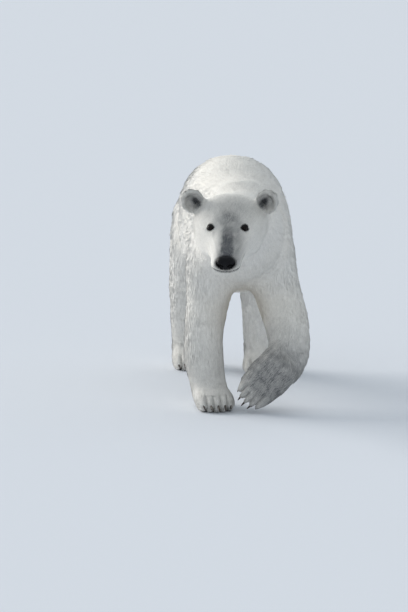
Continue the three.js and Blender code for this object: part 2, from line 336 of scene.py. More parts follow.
def nearest_nodes(places):
    """The index in FLESH of the solid nearest to each place."""
    corners, faces, owners = [], [], []
    for index, name in enumerate(FLESH):
        bm = node_bmesh(name)
        start = len(corners)
        corners += [v.co.copy() for v in bm.verts]
        for face in bm.faces:
            faces.append([start + v.index for v in face.verts])
            owners.append(index)
        bm.free()
    tree = BVHTree.FromPolygons(corners, faces)
    return np.array([owners[tree.find_nearest(p)[2]] for p in places])


def limb_lines():
    """The way the hair runs on each solid: down the limbs, back along the trunk, to the toes."""
    lines = {
        "trunk": (0, 0.92, -0.42),
        "neck": (0, 0.84, -0.36),
        "tail": (0, 0.12, -1),
    }
    for name, (upper, lower, paw) in LEGS.items():
        claws = sum((middle(c) for c in claw_names(name)), Vector()) / len(TOES)
        lines[upper] = (middle(lower) - middle(upper)).normalized() + Vector((0, 0.25, 0))
        lines[lower] = (middle(paw) - middle(lower)).normalized() + Vector((0, 0.1, 0))
        lines[paw] = (claws - middle(paw)).normalized()
    return {name: np.array(line, float) for name, line in lines.items()}


NOSE_TIP = (0, -0.300, -0.020)
EAR_HALF = (0.036, 0.046)  # half width and half height of an ear's skin
EAR_TILT, EAR_SPLAY, EAR_TURN = 0.16, 0.5, -0.34  # radians about X, Y and Z


def ear_matrix(sign):
    """From an ear's own frame, its cup open towards -Y, to the head's frame."""
    lean = Matrix.Rotation(EAR_TILT, 4, "X") @ Matrix.Rotation(sign * EAR_SPLAY, 4, "Y")
    place = Matrix.Translation((sign * 0.129, 0.002, 0.053))
    return place @ lean @ Matrix.Rotation(sign * EAR_TURN, 4, "Z")


def change(sizes, amount, *shares):
    """Changes columns of the sizes, each by a share of itself where the amount is 1."""
    for column, share in shares:
        sizes[:, column] *= 1 + share * amount


def traits(places, normals, owners):
    """Sizes and direction of the coat at each skin vertex, before they are evened out."""
    sizes = np.array([COAT[PART_OF[name]] for name in FLESH])[owners]
    lines = limb_lines()
    flow = np.zeros_like(places)
    for index, name in enumerate(FLESH):
        here = owners == index
        if name in lines:
            flow[here] = lines[name]
    on_paws = owned_by(owners, [paw for _, _, paw in LEGS.values()])
    heel = ease(-np.sum(normals * unit(flow), axis=1), 0.1, 0.7) * on_paws
    rump = ease(places[:, 1], 0.34, 0.60) * owned_by(owners, ["trunk"])
    hanging = (rump + heel)[:, None]
    flow = flow * (1 - hanging) + hanging * lines["tail"]
    h = in_head(places)
    forward = -h[:, 1]
    back_turn = np.array(head_matrix().to_3x3())
    on_head = owned_by(owners, ("head", "lower_jaw"))
    radiate = unit(h - NOSE_TIP) + (0, 0.5, 0)
    flow[on_head] = radiate[on_head] @ back_turn.T
    for side, sign in SIDES.items():
        on_ear = owned_by(owners, [f"ear_{side}"])
        turn = np.array(ear_matrix(sign).to_3x3())
        q = through(ear_matrix(sign).inverted(), h)
        inside = ease(q[:, 1], 0.004, -0.006)[:, None]
        radial = q * (1, 0, 1) + (sign * 0.006, 0, 0.020)
        run = (1 - inside) * (0, 0.1, 1) + inside * unit(radial)
        flow[on_ear] = (run @ turn.T @ back_turn.T)[on_ear]
    # The face is short-haired from the nose to the brow, and the cheeks and throat grow long.
    muzzle = ease(forward, 0.03, 0.22)
    nape = ease(forward, 0.06, -0.08)
    low = ease(h[:, 2], -0.02, -0.10) * ease(forward, 0.17, 0.09)
    grown = (1 - 0.72 * muzzle) * (1 + 0.9 * nape) * (1 + 0.75 * low)
    for column, power in ((DEPTH, 1), (LENGTH, 1), (WIDTH, 0.6), (DENSITY, -0.9)):
        sizes[on_head, column] *= grown[on_head] ** power
    sizes[on_head, SMOOTHING] *= (1 - 0.75 * ease(forward, 0.10, 0.25))[on_head]
    for centre, _ in eye_places().values():
        close = ease(distance(places, centre), 0.040, 0.020)
        change(sizes, close, (LENGTH, -0.62), (WIDTH, -0.30), (DENSITY, 0.7), (RISE, -0.4))
    # The hair shortens over the toes, and the wrists and ankles run smoothly into the leg.
    for leg, (_, lower, paw) in LEGS.items():
        on_paw = owned_by(owners, [paw])
        close = ease(distance(places, middle(paw)), 0.230, 0.120)
        close = (close * owned_by(owners, [lower]))[:, None]
        sizes = sizes * (1 - close) + np.array(COAT["paw"]) * close
        away = np.min([distance(places, middle(name)) for name in claw_names(leg)], axis=0)
        toe = ease(away, 0.080, 0.040) * on_paw
        change(sizes, toe, (LENGTH, -0.50), (DEPTH, -0.3), (WIDTH, -0.2), (DENSITY, 0.4))
        sizes[:, SMOOTHING] += 0.40 * ease(away, 0.085, 0.150) * on_paw
        near = ease(distance(places, middle(lower) * 0.4 + middle(paw) * 0.6), 0.125, 0.060)
        sizes[:, SMOOTHING] = np.maximum(sizes[:, SMOOTHING], 0.95 * near)
    # Longer hair hangs behind the legs and under the belly; the soles are nearly bare.
    behind = np.clip(normals[:, 1], 0, 1) * ~owned_by(owners, BODY)
    under = np.clip(-normals[:, 2], 0, 1) * owned_by(owners, ["trunk"])
    change(sizes, behind + under, (DEPTH, 0.45), (LENGTH, 0.6))
    sole = ease(-normals[:, 2], 0.6, 0.95) * ease(places[:, 2], 0.03, 0.012)
    sizes[:, DEPTH] *= 1 - sole
    return sizes, flow


# ---- Skin ----
MOUTH_LEVEL = -0.063
EYE_SINK = 0.004  # how much deeper the eyeball sits than the solid that holds its place


def eye_places():
    """The middle and the outward direction of each eyeball, in the row frame."""
    head = head_matrix()
    places = {}
    for side, sign in SIDES.items():
        out = (head.to_3x3() @ Vector((sign * 0.42, -0.90, 0.13))).normalized()
        places[side] = (middle(f"eye_{side}") - out * EYE_SINK, out)
    return places


# The skin lies this far inside the eyeball's surface behind it, and outside it round the front.
UNDER_BALL, OVER_BALL = 0.0012, 0.0016


def from_eye(places, centre, out):
    """The way to each place from an eyeball's middle, its length and its angle to the front."""
    away, reach = places - np.array(centre), distance(places, centre)
    return away, reach, np.degrees(np.arccos(np.clip(away @ np.array(out) / reach, -1, 1)))


def socketed(places):
    """Skin drawn in behind each eyeball and raised round it."""
    ball = settings().eye_radius
    for centre, out in eye_places().values():
        away, reach, angle = from_eye(places, centre, out)
        rim = np.maximum(reach, ball + OVER_BALL)
        rise = ease(angle, 58, 78)
        wanted = (ball - UNDER_BALL) * (1 - rise) + rim * rise
        near = ease(reach, 0.034, 0.026) * ease(angle, 118, 96)
        places = places + away / reach[:, None] * ((wanted - reach) * near)[:, None]
    return places


def nose_box():
    """Middle and half sizes of the nose in the head's frame."""
    solid = node_bmesh("nose")
    corners = in_head(np.array([v.co for v in solid.verts]))
    solid.free()
    low, high = corners.min(0), corners.max(0)
    return (low + high) / 2, (high - low) / 2


def mouth_rise(h):
    """How far each place on the head stands over the line of the mouth."""
    forward = -h[:, 1]
    side = 0.009 * ease(np.abs(h[:, 0]), 0.008, 0.040) + 0.003 * ease(forward, 0.235, 0.165)
    return h[:, 2] - MOUTH_LEVEL - side + 0.003 * ease(forward, 0.22, 0.28)


# Each swelling or hollow on both sides of the face: its height, its place and its size.
FACE_HILLS = {
    "brow": (0.0030, (0.052, -0.116, 0.050), (0.024, 0.026, 0.014)),
    "socket": (-0.0035, (0.060, -0.148, 0.024), (0.019, 0.016, 0.015)),
    "tear furrow": (-0.0030, (0.040, -0.162, 0.010), (0.011, 0.024, 0.010)),
    "cheekbone": (0.0030, (0.072, -0.128, -0.010), (0.022, 0.028, 0.014)),
    "lip pad": (0.0035, (0.034, -0.258, -0.054), (0.018, 0.032, 0.014)),
}
# The line of the mouth, then the lower and the upper lip: height, place over the line and width.
LIPS = ((-0.0038, 0, 0.0026), (0.0018, -0.008, 0.005), (0.0012, 0.008, 0.005))


def sculpted_face(h, normals):
    """Skin of the face, in the head's frame, with brow, sockets, cheeks, lips and mouth line."""
    forward = -h[:, 1]
    move = np.zeros(len(h))
    for sign in SIDES.values():
        for height, at, size in FACE_HILLS.values():
            move += height * hill(h * (sign, 1, 1), at, size)
    move -= 0.0025 * hill(h, (0, -0.105, 0.055), (0.008, 0.045, 0.025))
    rise = mouth_rise(h)
    mouth = ease(forward, 0.150, 0.205)
    for height, at, width in LIPS:
        move += height * bell(rise - at, width) * mouth
    # Shallow furrows run back along the sides of the muzzle.
    around = np.arctan2(np.abs(h[:, 0]), h[:, 2] + 0.045)
    furrow = hill(h[:, 1:], (-0.205, -0.020), (0.045, 0.034))
    fold = 0.0011 * np.sin(around * 17 + 9 * forward) * furrow
    move += fold * ease(np.abs(h[:, 0]), 0.020, 0.034)
    h = h + normals * move[:, None]
    # A shallow seat for the nose.
    centre, half = nose_box()
    off = np.linalg.norm((h - centre)[:, [0, 2]] / half[[0, 2]], axis=1)
    seat = ease(off, 1.02, 0.84) * (h[:, 1] < centre[1] + 0.006)
    h[:, 1] += (np.maximum(h[:, 1], centre[1] + 0.006) - h[:, 1]) * seat
    return h


def cupped_ears(h, owners):
    """Skin of the ears, in the head's frame, drawn into thick-rimmed cups."""
    for side, sign in SIDES.items():
        place = ear_matrix(sign)
        q = through(place.inverted(), h)
        here = owned_by(owners, [f"ear_{side}"]) & (q[:, 2] > -0.040)
        wide, tall = EAR_HALF
        r = np.hypot(q[:, 0] / wide, q[:, 2] / tall)
        medial = -sign * q[:, 0]
        deep = hill(np.stack([medial, q[:, 2]], axis=1), (0.006, -0.014), (0.017, 0.022))
        rim = -0.013 * bell(r - 0.82, 0.22)
        bowl = 0.003 * ease(r, 0.72, 0.40) + 0.007 * deep * ease(r, 0.8, 0.5)
        front = rim + bowl
        strength = ease(q[:, 1], 0.002, -0.005) * ease(r, 1.02, 0.90)
        strength *= ease(q[:, 2], -0.040, -0.026)
        moved = q.copy()
        moved[:, 1] += (front - q[:, 1]) * strength
        h = np.where(here[:, None], through(place, moved), h)
    return h


# The swelling over each toe and the groove between two: height, half width, and how far behind
# the claws it ends and how far behind them it is full.
TOE = (0.0035, 0.010, 0.060, 0.015)
GROOVE = (-0.0085, 0.0042, 0.068, 0.024)


def toed_paws(places, normals, owners):
    """Skin of the paws with grooves between the toes and the toes swollen over their claws."""
    move = np.zeros(len(places))
    for leg, (_, _, paw) in LEGS.items():
        claws = np.array([middle(name) for name in claw_names(leg)])
        centre = claws.mean(axis=0)
        across = unit(claws[-1] - claws[0])
        run = np.array(middle(paw)) - centre
        run = unit(run - across * (run @ across))
        u, v = (places - centre) @ across, (places - centre) @ run
        toes = np.stack([(claws - centre) @ across, (claws - centre) @ run], axis=1)
        here = owned_by(owners, [paw])
        grooves = (toes[1:] + toes[:-1]) / 2
        for lines, (height, width, end, full) in ((toes, TOE), (grooves, GROOVE)):
            for line_u, line_v in lines:
                move += height * (bell(u - line_u, width) * ease(v - line_v, end, full)) * here
    places = places + normals * move[:, None]
    places[:, 2] = np.maximum(places[:, 2], FLOOR)
    return places


LID_SEGMENTS = 40
# How far the eye opens, in degrees from its middle, and how much further at its inner corner.
UPPER_LID, LOWER_LID, EYE_CORNERS, INNER_CORNER = 38, 35, 54, 9
# Degrees beyond the opening's edge, and height over the eyeball's middle in eyeball radii.
LID_PROFILE = (
    (0, 1.005), (0.8, 1.06), (4, 1.115), (11, 1.14), (18, 1.125), (26, 1.09), (36, 0.98),
    (30, 0.90), (12, 0.93),
)


def lid_ring(bm, centre, out, sign):
    """Upper and lower lid of one eye as a closed ring of soft edges round its opening."""
    up = (head_matrix().to_3x3() @ Vector((0, 0, 1))).normalized()
    across = out.cross(up).normalized() * -sign
    up = (up - out * up.dot(out)).normalized()
    ball = settings().eye_radius
    loops = []
    for beyond, height in LID_PROFILE:
        made = bmesh.ops.create_circle(bm, segments=LID_SEGMENTS, radius=1)["verts"]
        for k, v in enumerate(made):
            turn = 2 * math.pi * k / LID_SEGMENTS
            x, z = math.cos(turn), math.sin(turn)
            lid = UPPER_LID if z > 0 else LOWER_LID
            corner = INNER_CORNER * max(0, -x) ** 6
            opening = 1 / math.sqrt((x / EYE_CORNERS) ** 2 + (z / lid) ** 2) + corner
            angle = math.radians(opening + beyond)
            off = math.sin(angle)
            way = across * (x * off) + up * (z * off) + out * math.cos(angle)
            v.co = centre + way * ball * height
        loops.append(list({e for v in made for e in v.link_edges}))
    for loop, following in zip(loops, loops[1:] + loops[:1]):
        bmesh.ops.bridge_loops(bm, edges=loop + following)


OVERLAP = 0.0008  # the solids are swollen this much, so that neighbours run into one skin
BODY_STEPS, COAT_STEPS = 110, 40  # of smoothing, for the body's shape and for the coat's sizes


def body_mesh():
    """One closed mesh over every solid of flesh, smoothed and drawn in by the depth of the coat."""
    mesh = mesh_from(gathered(FLESH + EYES + ("nose",), OVERLAP), "skin")

    def remesh(piece):
        made = piece.modifiers.new("One shell", "REMESH")
        made.mode = "VOXEL"
        made.voxel_size = settings().voxel

    mesh = largest_shell(modified(mesh, remesh))
    places, normals, edges = arrays(mesh)
    sizes, _ = traits(places, normals, nearest_nodes(places))
    sizes = relaxed(sizes, edges, COAT_STEPS, 0.5)
    place_vertices(mesh, relaxed(places, edges, BODY_STEPS, sizes[:, [SMOOTHING]]))
    places, normals, edges = arrays(mesh)
    places = places - normals * relaxed(sizes[:, [DEPTH]], edges, 10, 0.5)
    places[:, 2] = np.maximum(places[:, 2], FLOOR)
    place_vertices(mesh, relaxed(places, edges, 3, 0.4 * np.minimum(1, sizes[:, [SMOOTHING]] * 6)))
    return mesh


def face_refined(mesh):
    """Halves the edges of the face, ears and toes, where lids, lips, rims and grooves need it."""
    head = head_matrix().inverted()
    claws = [middle(name) for leg in LEGS for name in claw_names(leg)]

    def fine(e):
        here = (e.verts[0].co + e.verts[1].co) / 2
        h = head @ here
        face = -0.34 < h.y < -0.098 and abs(h.x) < 0.115 and -0.12 < h.z < 0.075
        ear = abs(h.y) < 0.055 and abs(h.x) > 0.098 and h.z > 0.012
        low = here.z < 0.16
        return face or ear or (low and min((here - claw).length for claw in claws) < 0.075)

    with edited(mesh) as bm:
        chosen = [e for e in bm.edges if fine(e)]
        bmesh.ops.subdivide_edges(bm, edges=chosen, cuts=1, use_grid_fill=True)
        bmesh.ops.triangulate(bm, faces=[f for f in bm.faces if len(f.verts) > 4])
    return mesh


def body_thinned(mesh):
    """Fewer faces on the trunk and upper legs, where nothing finer than the coat shows."""

    def thin(piece):
        places, _, edges = arrays(piece.data)
        plain = [n for n in FLESH if PART_OF[n] in ("trunk", "neck", "upper", "lower")]
        weight = owned_by(nearest_nodes(places), plain).astype(float)[:, None]
        weight = relaxed(weight, edges, 12, 0.5)[:, 0]
        group = piece.vertex_groups.new(name="plain")
        for level in range(1, 11):
            chosen = np.nonzero(np.round(weight * 10) == level)[0]
            group.add(chosen.tolist(), level / 10, "REPLACE")
        made = piece.modifiers.new("Fewer faces", "DECIMATE")
        made.ratio = settings().kept_faces
        made.vertex_group = "plain"

    return modified(mesh, thin)


# Painted shade in each eye's socket and tear furrow, with thinner hair there: its strength, place
# and size.
EYE_SHADES = (
    (0.35, (0.046, -0.156, 0.014), (0.008, 0.020, 0.009)),
    (0.25, (0.059, -0.146, 0.026), (0.021, 0.022, 0.019)),
)


def bare_marks(places, normals):
    """How bare and dark the skin is, how thin the hair is with the painted shade added to it, and
    the painted tan shade under the chest, at each place.
    """
    h, own_normals = in_head(places), normals @ np.array(head_matrix().to_3x3())
    forward = -h[:, 1]
    bare = np.zeros(len(places))
    for centre, out in eye_places().values():
        _, reach, angle = from_eye(places, centre, out)
        bare = np.maximum(bare, ease(angle, 84, 74) * ease(reach, 0.0190, 0.0165))
    lips = np.minimum(1, bell(mouth_rise(h) + 0.0005, 0.0030) / 0.45)
    lips *= 0.30 * ease(forward, 0.165, 0.200) + 0.70 * ease(forward, 0.215, 0.250)
    bare = np.maximum(bare, lips)
    centre, half = nose_box()
    bare = np.maximum(bare, ease(np.linalg.norm((h - centre) / half, axis=1), 1.20, 1.02))
    # The hair is thin and the skin shows dark from the top of the nose up to the brow; the band and
    # its skirt, set off towards the bear's left away from the key light, also carry painted shade.
    wide = 0.023 + 0.004 * ease(forward, 0.19, 0.28) + 0.003 * waves(h, 0.03, 5)
    off = np.abs(h[:, 0] - 0.004)
    bridge = ease(off, wide + 0.015, wide - 0.014) * ease(forward, 0.060, 0.215)
    skirt = 0.56 * ease(np.abs(h[:, 0] - 0.014), 0.060, 0.018) * ease(forward, 0.09, 0.14)
    thin = np.maximum(0.98 * bridge, skirt) * ease(h[:, 2], -0.062, -0.030)
    # Grey over the brow and the crown: painted shade of the forehead and crown, partly thinner hair
    # there.
    brow = 0.70 * hill(h, (0.004, -0.122, 0.048), (0.052, 0.060, 0.044))
    crown_shade = 0.40 * hill(h, (0.016, -0.080, 0.074), (0.100, 0.080, 0.060))
    thin = np.maximum(thin, np.maximum(brow, crown_shade))
    thin *= 1 + 0.13 * waves(h * (1, 0.35, 1), 0.010, 9)
    for sign in SIDES.values():
        for strength, at, size in EYE_SHADES:
            thin = np.maximum(thin, strength * hill(h * (sign, 1, 1), at, size))
        # The ear cups are painted grey, darkest in the hollow: painted shade in the cup, with bare
        # skin deep in the hollow.
        q = through(ear_matrix(sign).inverted(), h)
        facing = -(own_normals @ np.array(ear_matrix(sign).to_3x3()))[:, 1]
        cup = ease(facing, -0.15, 0.25) * ease(np.abs(h[:, 0]), 0.085, 0.100)
        cup *= ease(np.linalg.norm(q, axis=1), 0.06, 0.05)
        flat = np.stack([-sign * q[:, 0], q[:, 2]], axis=1)
        hollow = hill(flat, (0.007, -0.013), (0.017, 0.024)) * cup
        inside = ease(np.linalg.norm(q[:, [0, 2]] / EAR_HALF, axis=1), 0.80, 0.50) * cup
        thin = np.maximum(thin, np.maximum(0.34 * inside, np.clip(1.15 * hollow, 0, 1)))
        bare = np.maximum(bare, 0.45 * ease(hollow, 0.60, 0.95))
    # The lifted paw and its wrist are painted grey: painted shade from the body's shadow, and
    # partly damp fur.
    away = distance(places, middle(LEGS["fore_left"][2]))
    paw_shade = 0.45 * ease(away, 0.270, 0.060) + 0.55 * ease(away, 0.160, 0.070)
    thin = np.maximum(thin, 0.72 * paw_shade * (1 + 0.16 * waves(places, 0.03, 12)))
    # The fronts of the forelegs are a little greyer towards the ground.
    shin = ease(places[:, 2], 0.34, 0.10) * ease(places[:, 1], -0.15, -0.25)
    thin = np.maximum(thin, 0.17 * shin * ease(-normals[:, 1], 0.0, 0.6))
    # Painted tan shade under the chest, between the forelegs.
    chest_shade = 0.6 * hill(places, (0, -0.23, 0.37), (0.11, 0.12, 0.10))
    return bare, np.clip(thin, 0, 1), np.clip(chest_shade, 0, 1)


def mark(mesh, columns):
    """Stores four values per vertex for the materials: bare, painted chest shade, thin hair with
    painted shade, and along.
    """
    layer = mesh.attributes.new("marks", "FLOAT_COLOR", "POINT")
    write(layer.data, "color", np.stack(columns, axis=1))


ISLAND_ANGLE, ISLAND_GAP = math.radians(66), 0.002


def bake_map(piece):
    """Unwraps a piece by the turn of its own faces into its UV map, made as OFBake where it has
    none.
    """
    view = bpy.context.view_layer
    for other in view.objects:
        other.select_set(False)
    view.objects.active = piece
    piece.select_set(True)
    if not piece.data.uv_layers:
        piece.data.uv_layers.new(name="OFBake")
    bpy.ops.object.mode_set(mode="EDIT")
    bpy.ops.mesh.select_all(action="SELECT")
    bpy.ops.uv.smart_project(angle_limit=ISLAND_ANGLE, island_margin=ISLAND_GAP)
    bpy.ops.object.mode_set(mode="OBJECT")


class BEAR_OT_skin(bpy.types.Operator):
    """One skin over the whole animal, with lids, lips and sockets"""

    bl_idname = "bear.skin"
    bl_label = "Skin"

    def execute(self, context):
        head = head_matrix()
        mesh = face_refined(body_mesh())
        places, _, edges = arrays(mesh)
        owners = nearest_nodes(places)
        on_face = ease(-in_head(places)[:, 1], 0.09, 0.12)[:, None]
        place_vertices(mesh, relaxed(places, edges, 6, 0.35 * on_face))
        places, normals, edges = arrays(mesh)
        carved = sculpted_face(in_head(places), normals @ np.array(head.to_3x3()))
        carved = through(head, carved)
        places = places * (1 - on_face) + carved * on_face
        cupped = through(head, cupped_ears(in_head(places), owners))
        on_ear = owned_by(owners, EARS)[:, None]
        places = np.where(on_ear, cupped, places)
        places = relaxed(places, edges, 3, 0.4 * on_ear)
        places, normals = socketed(places), arrays(mesh)[1]
        place_vertices(mesh, toed_paws(places, normals, owners))
        mesh = body_thinned(mesh)
        first_lid = len(mesh.vertices)
        with edited(mesh) as bm:
            for side, (centre, out) in eye_places().items():
                lid_ring(bm, centre, out, SIDES[side])
            bmesh.ops.triangulate(bm, faces=bm.faces)
            bmesh.ops.recalc_face_normals(bm, faces=bm.faces)
        places, normals, _ = arrays(smooth(mesh))
        bare, thin, chest_shade = bare_marks(places, normals)
        bare[first_lid:] = 1
        mark(mesh, (bare, chest_shade, thin, np.zeros(len(places))))
        bake_map(add_piece("skin", mesh, ("coat_underlayer", skin_surface), FLESH))
        return {"FINISHED"}


# ---- Eyes, nose and claws ----
CORNEA, CORNEA_EDGE = 0.05, 38  # its bulge as a share of the radius, and its edge in degrees


class BEAR_OT_eyes(bpy.types.Operator):
    """Two dark brown eyeballs with a raised cornea"""

    bl_idname = "bear.eyes"
    bl_label = "Eyes"

    def execute(self, context):
        radius = settings().eye_radius
        for side, (centre, out) in eye_places().items():
            bm = bmesh.new()
            turn = out.to_track_quat("Z", "Y").to_matrix().to_4x4()
            bmesh.ops.create_uvsphere(bm, u_segments=40, v_segments=36, radius=radius)
            ring = bm.verts.layers.float.new("from_axis")
            for v in bm.verts:
                angle = math.degrees(v.co.angle(Vector((0, 0, 1))))
                v[ring] = angle / 90
                v.co *= 1 + CORNEA * max(0, 1 - (angle / CORNEA_EDGE) ** 2)
            bmesh.ops.transform(bm, matrix=Matrix.Translation(centre) @ turn, verts=bm.verts)
            bmesh.ops.recalc_face_normals(bm, faces=bm.faces)
            name = f"eyeball_{side}"
            mesh = smooth(mesh_from(bm, name))
            add_piece(name, mesh, ("eye_wet", eye_surface), (f"eye_{side}",))
        return {"FINISHED"}


# Seen from the front, in half sizes of the nose: the hole of a nostril and the slit beside it
# with their depths, lines and radii, then the swellings over and under them.
NOSTRIL = ((0.50, (0.38, -0.20), (0.56, 0.02), 0.24), (0.30, (0.58, 0.0), (0.84, -0.24), 0.11))
NOSTRIL_RIMS = ((0.10, (0.56, 0.36), (0.22, 0.13)), (0.06, (0.30, -0.52), (0.2, 0.16)))
SQUARENESS = 2.5  # 2 would be an ellipsoid


class BEAR_OT_nose(bpy.types.Operator):
    """The bare black nose with two nostrils and the groove down to the lip"""

    bl_idname = "bear.nose"
    bl_label = "Nose"

    def execute(self, context):
        centre, half = nose_box()
        bm = bmesh.new()
        bmesh.ops.create_icosphere(bm, subdivisions=6, radius=1)
        p = np.array([v.co for v in bm.verts])
        p = p * (np.sum(np.abs(p) ** SQUARENESS, axis=1) ** (-1 / SQUARENESS))[:, None]
        lower = ease(p[:, 2], 0.45, -1)
        p[:, 0] *= 1 - 0.42 * lower
        p[:, 1] += 0.30 * lower
        p[:, 2] += 0.07 * np.abs(p[:, 0]) * ease(p[:, 2], 0.2, 0.9)
        out = unit(p)
        front = ease(-p[:, 1], 0.0, 0.5)
        sink, swell = np.zeros((2, len(p)))
        for sign in SIDES.values():
            flat = p[:, [0, 2]] * (sign, 1)
            for depth, start, end, radius in NOSTRIL:
                sink += depth * capsule(flat, start, end, radius) * front
            for height, at, size in NOSTRIL_RIMS:
                swell += height * hill(flat, at, size)
        sink += 0.10 * bell(p[:, 0], 0.05) * ease(p[:, 2], 0.25, -0.15) * front
        p = p - out * np.minimum(sink, 0.5)[:, None] + out * swell[:, None]
        h = centre + p * half * (0.98, 1.0, 0.98)
        for v, place in zip(bm.verts, through(head_matrix(), h)):
            v.co = place
        mesh = smooth(mesh_from(bm, "nose_pad"))
        # Deep in the nostrils the nose is painted nearly black: painted shade in the holes.
        hollow = mesh.attributes.new("hollow", "FLOAT", "POINT")
        write(hollow.data, "value", np.clip(sink / 0.3, 0, 1))
        add_piece("nose_pad", mesh, ("nose_leather", nose_surface), ("nose",))
        return {"FINISHED"}


CLAW_SWELL = 0.0010  # makes up for what the rounding takes off


class BEAR_OT_claws(bpy.types.Operator):
    """Five claws to a paw, rounded from the solids that hold their places"""

    bl_idname = "bear.claws"
    bl_label = "Claws"

    def execute(self, context):
        for leg in LEGS:
            names, name = claw_names(leg), f"claws_{leg}"
            mesh = smooth(mesh_from(gathered(names, CLAW_SWELL), name))
            piece = add_piece(name, mesh, ("claw_horn", claw_surface), names)
            rounded = piece.modifiers.new("Rounded", "SUBSURF")
            rounded.levels = rounded.render_levels = 2
        return {"FINISHED"}


# ---- Coat ----
# Each coat piece, the solids it grows on, and where along the body it starts and stops.
FACE_END, SHOULDERS_END, LOINS_END = -0.600, 0.10, 0.34
NO_END = 9
COAT_PIECES = {
    "coat_face": (HEAD, -NO_END, FACE_END),
    "coat_cheeks": (HEAD, FACE_END, NO_END),
    "coat_neck": (("neck",), -NO_END, NO_END),
    "coat_shoulders": (("trunk",), -NO_END, SHOULDERS_END),
    "coat_loins": (("trunk",), SHOULDERS_END, LOINS_END),
    "coat_rump": (("trunk", "tail"), LOINS_END, NO_END),
    "coat_foreleg_right": (LEGS["fore_right"], -NO_END, NO_END),
    "coat_foreleg_left": (LEGS["fore_left"], -NO_END, NO_END),
    "coat_hind_leg_right": (LEGS["hind_right"], -NO_END, NO_END),
    "coat_hind_leg_left": (LEGS["hind_left"], -NO_END, NO_END),
}
MOST_TUFTS = 48500  # to a piece
LENGTHS, WIDTHS = (0.72, 1.18), (0.75, 1.25)  # of single tufts, in shares of their place's own
WANDER = ((0.09, 0.10), (0.05, 0.035))  # radians the lie turns by, and over how many metres
STRAY = 0.09  # radians that single tufts stray from the lie
BEND = 0.42  # where along its length a tuft bends
DROOP = (12, 26)  # degrees by which it lies flatter beyond its bend
LOCK, LOCK_PULL = 22, 0.20  # tufts to a lock, and how far their tips are drawn together
ROOTED = (0.0012, 0.04)  # depth of a root under the skin, and what a tuft's length adds to it
SPLAY = 0.3  # how far the shading leans to a tuft's sides
HAIRLESS = 0.75  # skin this bare grows no tuft
ALONG = (0, 0.45, 0.45, 1.0)  # from root to tip, at the four corners
PATCH = 0.0015  # half the width of a tuft's place on the bake map
# The corners of a tuft are its root, its bend's two sides and its tip.
TUFT_FACES = ((0, 2, 1), (3, 1, 2), (0, 1, 3), (0, 3, 2))


class Skin:
    """The finished skin as arrays: triangles, normals, and the coat's traits at each vertex."""

    def __init__(self, piece):
        mesh = piece.data
        self.places, self.normals, edges = arrays(mesh)
        self.triangles = read(mesh.polygons, "vertices", 3, np.int64)
        self.marks = read(mesh.attributes["marks"].data, "color", 4)
        owners = nearest_nodes(self.places)
        sizes, flow = traits(self.places, self.normals, owners)
        flow = relaxed(unit(flow), edges, 40, 0.5)
        self.flow = unit(relaxed(unit(flattened(flow, self.normals)), edges, 6, 0.5))
        on_ear = owned_by(owners, EARS)[:, None]
        self.sizes = relaxed(sizes, edges, 70, np.where(on_ear, 0.08, 0.5))
        corners = self.places[self.triangles]
        cross = np.cross(corners[:, 1] - corners[:, 0], corners[:, 2] - corners[:, 0])
        self.areas = np.linalg.norm(cross, axis=1) / 2
        self.face_owner = owners[self.triangles[:, 0]]
        self.centres = corners.mean(axis=1)

    def unwrapped(self, chosen):
        """Corner by corner, a map of the chosen faces unwrapped by their own shape."""
        used, local = np.unique(self.triangles[chosen], return_inverse=True)
        bm = bmesh.new()
        verts = [bm.verts.new(p) for p in self.places[used]]
        for a, b, c in local.reshape(-1, 3):
            bm.faces.new((verts[a], verts[b], verts[c]))
        piece = object_from("unwrap_shape", mesh_from(bm, "unwrap_shape"))
        bake_map(piece)
        mesh = piece.data
        uv = read(mesh.uv_layers["OFBake"].data, "uv", 2)
        bpy.data.objects.remove(piece)
        bpy.data.meshes.remove(mesh)
        return uv.reshape(-1, 3, 2)


def sown(weights, count, rng):
    """Faces picked in even strides along their summed weights, with a place in each."""
    total = np.cumsum(weights)
    steps = (np.arange(count) + rng.uniform(0, 1, count)) / count * total[-1]
    faces = np.minimum(np.searchsorted(total, steps), len(weights) - 1)
    a, b = rng.uniform(0, 1, (2, count))
    over = a + b > 1
    a[over], b[over] = 1 - a[over], 1 - b[over]
    return faces, np.stack([1 - a - b, a, b], axis=1)


def flattened(vectors, normals):
    """Vectors without their part along the normals."""
    return vectors - normals * np.sum(vectors * normals, axis=1, keepdims=True)


def turned(vectors, axes, angles):
    """Vectors turned about the axes they are square to."""
    c, s = np.cos(angles)[:, None], np.sin(angles)[:, None]
    return vectors * c + np.cross(axes, vectors) * s


def locked(roots, tips, rng):
    """Tips drawn some of the way together into locks."""
    seeds = rng.choice(len(roots), max(1, len(roots) // LOCK), replace=False)
    tree = KDTree(len(seeds))
    for index, seed in enumerate(seeds):
        tree.insert(roots[seed], index)
    tree.balance()
    lock = np.array([tree.find(root)[1] for root in roots])
    count = np.maximum(np.bincount(lock, minlength=len(seeds)), 1)
    middles = [np.bincount(lock, tips[:, k], len(seeds)) / count for k in range(3)]
    pull = LOCK_PULL * rng.uniform(0.3, 1, len(seeds))[lock]
    return tips + (np.stack(middles, axis=1)[lock] - tips) * pull[:, None]


